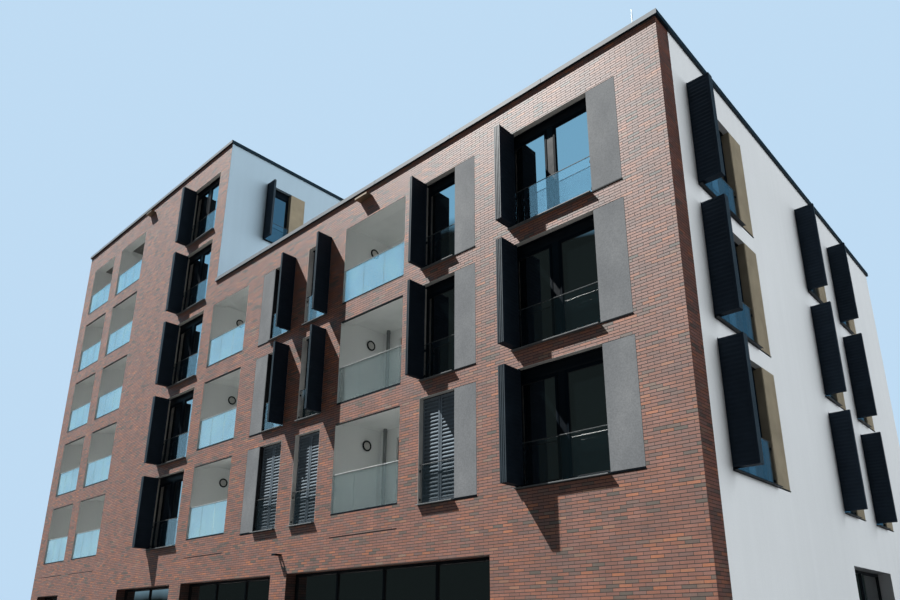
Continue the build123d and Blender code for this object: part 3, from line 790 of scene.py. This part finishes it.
def draw_folded_leaf(shape, wall, along, rect, front, back, slats):
    """One leaf that stands square to the wall, with a sheet in it, and slats on one side or none.

    Slot 0 is the frame and the sheet, slot 1 the outer edge and slot 2 the slats."""
    left, right = along
    near, far = front - stile, back + stile
    shape.bar(wall, cut(left, right, near, front - 0.003), rect.bottom, rect.top, "up")
    shape.bar(wall, cut(left + 0.004, right - 0.004, front - 0.004, front, fine_edge),
              rect.bottom + 0.004, rect.top - 0.004, "up", 1)
    shape.bar(wall, cut(left, right, back, far), rect.bottom, rect.top, "up")
    for low in (rect.bottom, rect.top - stile):
        shape.bar(wall, cut(left, right, low, low + stile), far, near, "out")
    low, high = (left + right) / 2 - 0.003, (left + right) / 2 + 0.003
    if slats:
        face, inward = (left, 1) if slats == "left" else (right, -1)
        leaf = (face + inward * 0.002, face + inward * (0.002 + slat_depth), far, near, "out")
        draw_slats(shape, wall, leaf, rect.bottom + stile, rect.top - stile, 2)
        if slats == "left":
            low = left + 0.003 + slat_depth
        else:
            high = right - 0.003 - slat_depth
    shape.bar(wall, [(low, far), (high, far), (high, near), (low, near)],
              rect.bottom + stile, rect.top - stile, "up")


for group in ("front", "side"):
    leaves = Shape()
    for wall, rect, front, back in spots_of(group + "_open_shutters"):
        count = round((rect.right - rect.left) / leaf_thickness)
        for k in range(count):
            left = rect.left + k * leaf_thickness
            outermost = "left" if k == 0 else "right" if k == count - 1 else ""
            draw_folded_leaf(leaves, wall, (left + 0.004, left + leaf_thickness - 0.002),
                             rect, front, back, outermost)
        for k in range(1, count):
            joint = rect.left + k * leaf_thickness
            at = front - hinge_inset if k % 2 else back + hinge_inset
            for share in hinge_places:
                z = rect.bottom + share * (rect.top - rect.bottom)
                knuckle = [(-hinge_reach, hinge_radius), (hinge_reach, hinge_radius)]
                leaves.turned(wall, (joint, z, at), knuckle, "up", 1, 8)
    # slot 1, the outer edges, takes the painted highlight tone
    piece(group + "_shutter_leaves", leaves, [shutter_coat, shutter_edge_painted_highlight, shutter_coat],
          [group + "_open_shutters"])

closed = Shape()
for wall, rect, front, back in spots_of("front_closed_shutters"):
    left, right = rect.left + stile, rect.right - stile
    bottom, top = rect.bottom + closed_rail, rect.top - closed_rail
    for post in (rect.left, right):
        closed.bar(wall, cut(post, post + stile, back, front), rect.bottom, rect.top, "up")
    for low in (rect.bottom, top):
        closed.bar(wall, cut(back, front, low, low + closed_rail), left, right, "along")
    draw_slats(closed, wall, (front - 0.003, back + 0.010, left, right, "along"), bottom, top, 1)
    closed.bar(wall, [(back + 0.004, bottom), (back + 0.009, bottom),
                      (back + 0.009, top), (back + 0.004, top)], left, right, "along", 2)
# the closed shutters take the paler tones of painted sunlight
piece("closed_shutter_leaves", closed, [shutter_back_painted_light, shutter_slat_painted_light, shutter_back_painted_light],
      ["front_closed_shutters"])

# Guards: a slim rail with rounded edges, and clamps that hold the glass at its sides

rails = Shape()
for wall, rect, front, back in spots_of("guard_rails"):
    cap = cut(back + rail_inset, front - rail_inset,
              rect.bottom - 0.002, rect.top - 0.009, rail_edge)
    rails.bar(wall, cap, rect.left, rect.right, "along")
for wall, rect, front, back in spots_of("guard_glass"):
    for end, inward in ((rect.left, clamp_reach), (rect.right, -clamp_reach)):
        for share in clamp_places:
            z = rect.bottom + share * (rect.top - rect.bottom)
            clamp = Rect(min(end, end + inward), max(end, end + inward),
                         z - clamp_height / 2, z + clamp_height / 2)
            rails.block(wall, clamp, front + 0.008, back - 0.008, 1, 0.004)
piece("guard_rail_and_clamps", rails, [rail_grey, dark_metal], ["guard_rails"])

# Balustrades of the loggias: three panes, a slim rail, and a shoe with a cover strip

panes = Shape()
for wall, rect, front, back in spots_of("balustrade_glass"):
    glazed = rect.right - rect.left - (panes_in_balustrade - 1) * glass_joint
    width = glazed / panes_in_balustrade
    for k in range(panes_in_balustrade):
        left = rect.left + k * (width + glass_joint)
        pane = Rect(left, left + width, rect.bottom, rect.top)
        panes.block(wall, pane, front, back, 0, fine_edge)
piece("balustrade_panes", panes, [balustrade_glass], ["balustrade_glass"])

handrails = Shape()
for wall, rect, front, back in spots_of("balustrade_rails"):
    handrails.bar(wall, cut(back, front, rect.bottom, rect.top, handrail_edge),
                  rect.left, rect.right, "along")
piece("balustrade_handrails", handrails, [pale_metal], ["balustrade_rails"])

shoes = Shape()
for wall, rect, front, back in spots_of("balustrade_shoes"):
    centre = (front + back) / 2
    inner, outer = centre - shoe_slot / 2, centre + shoe_slot / 2
    for low, high in ((back, inner), (outer, front)):
        shoes.bar(wall, cut(low, high, rect.bottom, rect.top), rect.left, rect.right, "along")
    shoes.bar(wall, cut(inner, outer, rect.bottom, rect.top - 0.008),
              rect.left, rect.right, "along", 1)
piece("balustrade_shoe_profiles", shoes, [dark_metal, gasket], ["balustrade_shoes"])

# Heads of the loggias: brick over a thin steel flange, without the flange in the top rows

angles = Shape()
heads = Shape()
for wall, rect, front, back in spots_of("loggia_lintels"):
    block_top = low_top if rect.left > length / 2 + party_x else high_top
    if rect.top > block_top - under_parapet:
        heads.bar(wall, cut(back, 0.0, rect.bottom, rect.top, 0.002),
                  rect.left, rect.right, "along")
        continue
    upper = rect.bottom + flange_thickness
    heads.bar(wall, [(back, rect.bottom), (back, rect.top), (0.0, rect.top), (0.0, upper),
                     (-flange_reach, upper), (-flange_reach, rect.bottom)],
              rect.left, rect.right, "along")
    angles.bar(wall, [(-flange_reach, upper - 0.001), (front - 0.003, upper - 0.001),
                      (front - 0.003, rect.bottom), (-flange_reach, rect.bottom)],
               rect.left, rect.right, "along")
piece("loggia_head_angles", angles, [dark_metal], ["loggia_lintels"])
piece("loggia_brick_heads", heads, [brick])

# Ring lamps: a dark ring round an opal diffuser, on the left wall of each loggia

lamps = Shape()
middle = lamp_radius - lamp_tube
ring_profile = [(lamp_tube + lamp_tube * math.sin(t), middle + lamp_tube * math.cos(t))
                for t in (math.radians(a) for a in range(-90, 271, 30))]
dome_profile = [(0.0, middle), (0.012, middle), (0.024, 0.105), (0.032, 0.07), (0.036, 0.03)]
for low, high in solids_of("loggia_lamps"):
    centre = Vector((low + high) / 2) - walls["front"].origin
    at = (float(low[0]) + length / 2, centre.z, -centre.y)
    lamps.turned(walls["front"], at, ring_profile, "along", 0)
    lamps.turned(walls["front"], at, dome_profile, "along", 1)
piece("loggia_ring_lamps", lamps, [dark_metal, opal], ["loggia_lamps"])

# Collars on the downpipes, and joint covers on the copings

collars = Shape()
for low, high in solids_of("downpipes"):
    centre = Vector((low + high) / 2) - walls["front"].origin
    pipe = float(high[0] - low[0]) / 2
    proud = pipe + collar_proud
    for share in collar_places:
        z = float(low[2]) + share * float(high[2] - low[2])
        collar = [(-0.02, pipe), (-0.018, proud), (0.018, proud), (0.02, pipe)]
        collars.turned(walls["front"], (centre.x, z, -centre.y), collar, "up", 0, 24)
piece("downpipe_collars", collars, [pipe_grey])

covers = {"low": Shape(), "high": Shape()}
front_party = length / 2 + party_x
rear_party = length / 2 - party_x
runs = [
    ("low", "front", front_party, length, low_top),
    ("low", "right", 0.0, depth, low_top),
    ("low", "rear", 0.0, rear_party, low_top),
    ("high", "front", 0.0, front_party, high_top),
    ("high", "upper", 0.0, depth, high_top),
    ("high", "left", 0.0, depth, high_top),
    ("high", "rear", rear_party, length, high_top),
]
for block, wall_name, start, end, base in runs:
    count = max(2, round((end - start) / coping_sheet))
    for k in range(1, count):
        at = start + (end - start) * k / count
        strap = Rect(at - cover_width / 2, at + cover_width / 2, base + 0.002, base + fascia_height)
        covers[block].block(walls[wall_name], strap, coping_overhang + cover_proud,
                            coping_overhang - 0.01, 0, 0.001)
piece("low_coping_covers", covers["low"], [coping_metal])
piece("high_coping_covers", covers["high"], [coping_metal])

# Floor and lamps

ground = Surface("pale_floor", roughness=0.9)
ground_tone = ground.mix(ground.noise(0.2, 3.0), (floor_tone * 0.98,) * 3, (floor_tone * 1.02,) * 3)
rays = ground.node("ShaderNodeLightPath").outputs
in_sight = ground.math("MAXIMUM", rays["Is Camera Ray"], rays["Is Singular Ray"])
ground_tone = ground.mix(in_sight, (floor_bounce,) * 3, ground_tone)
bpy.ops.mesh.primitive_plane_add(size=floor_size, location=(0, 0, 0))
floor = bpy.context.object
floor.name = "studio_floor"
floor.data.materials.append(ground.finished(ground_tone))


def sun_lamp(name, travel, strength, angle, colour):
    data = bpy.data.lights.new(name, "SUN")
    data.energy = strength
    data.angle = angle
    data.color = colour
    lamp = bpy.data.objects.new(name, data)
    lamp.rotation_euler = travel.to_track_quat("-Z", "Y").to_euler()
    bpy.context.scene.collection.objects.link(lamp)
    return lamp


sun_lamp("sun", sun_travel, sun_strength, sun_angle, sun_light)
fill = sun_lamp("fill", fill_travel, fill_strength, fill_angle, fill_light)
fill.visible_glossy = False

# The world: a faint light, a plain sky for the camera, and a sky over roofs for what mirrors.
# Only mirror-like glass shows that sky in full; rougher surfaces get soft_mirror of it.

world = bpy.data.worlds.new("studio")
bpy.context.scene.world = world
world.use_nodes = True
world.node_tree.nodes.clear()
sky = Nodes(world.node_tree, "Generated")
rays = sky.node("ShaderNodeLightPath").outputs


def glow(colour, strength=1.0):
    made = sky.node("ShaderNodeBackground")
    sky.set(made.inputs["Color"], colour)
    sky.set(made.inputs["Strength"], strength)
    return made.outputs[0]


def choose(share, a, b):
    made = sky.node("ShaderNodeMixShader")
    for socket, value in zip(made.inputs, (share, a, b)):
        sky.set(socket, value)
    return made.outputs[0]


east, north, height = sky.parts(sky.place)
level = sky.math("SQRT", sky.math("ADD", sky.math("MULTIPLY", east, east),
                                  sky.math("MULTIPLY", north, north)))
heading = sky.math("DIVIDE", east, sky.math("ADD", level, 0.001))
end, end_height = street_end
bend, bend_height = street_bend
side, side_height = street_side
roofs = sky.math("ADD", sky.range(heading, end, bend, end_height, bend_height),
                 sky.range(heading, bend, side, 0.0, side_height - bend_height))
roofs = sky.math("MULTIPLY", roofs, sky.range(north, *north_turn, 1.0, north_roofs))
uneven = sky.math("MULTIPLY_ADD", sky.noise(6.0, 2.0), skyline_ripple, height)
over_roofs = sky.range(sky.math("SUBTRACT", uneven, roofs), *skyline_edge, 0.0, 1.0)
aloft = sky.mix(sky.range(height, 0.0, haze_top, 0.0, 1.0), mirrored_haze, mirrored_sky)
aloft = sky.mix(sky.range(north, *north_turn, 0.0, 1.0), aloft, north_sky)
# towards the end of the street even rough surfaces get most of that sky
soft = sky.range(heading, -0.95, -0.75, 0.8, soft_mirror)
mirrored = glow(sky.mix(over_roofs, skyline_tone, aloft),
                sky.math("MAXIMUM", soft, rays["Is Singular Ray"]))
seen = sky.math("MAXIMUM", rays["Is Camera Ray"], rays["Is Transmission Ray"])
plain = choose(seen, glow(sky_light, sky_strength), glow(background))
output = sky.node("ShaderNodeOutputWorld")
sky.set(output.inputs[0], choose(rays["Is Glossy Ray"], plain, mirrored))

# The camera, as solved from the photograph

camera_data = bpy.data.cameras.new("camera")
camera_data.sensor_width = 36.0
camera_data.sensor_fit = "HORIZONTAL"
camera_data.lens = camera_lens
camera_data.shift_x, camera_data.shift_y = camera_shift
camera_data.clip_end = 500.0
camera = bpy.data.objects.new("camera", camera_data)
turn = Matrix((camera_right, -camera_down, -camera_ahead)).transposed()
camera.matrix_world = Matrix.Translation(camera_place) @ turn.to_4x4()
bpy.context.scene.collection.objects.link(camera)
bpy.context.scene.camera = camera

bpy.context.scene.view_settings.view_transform = "Standard"
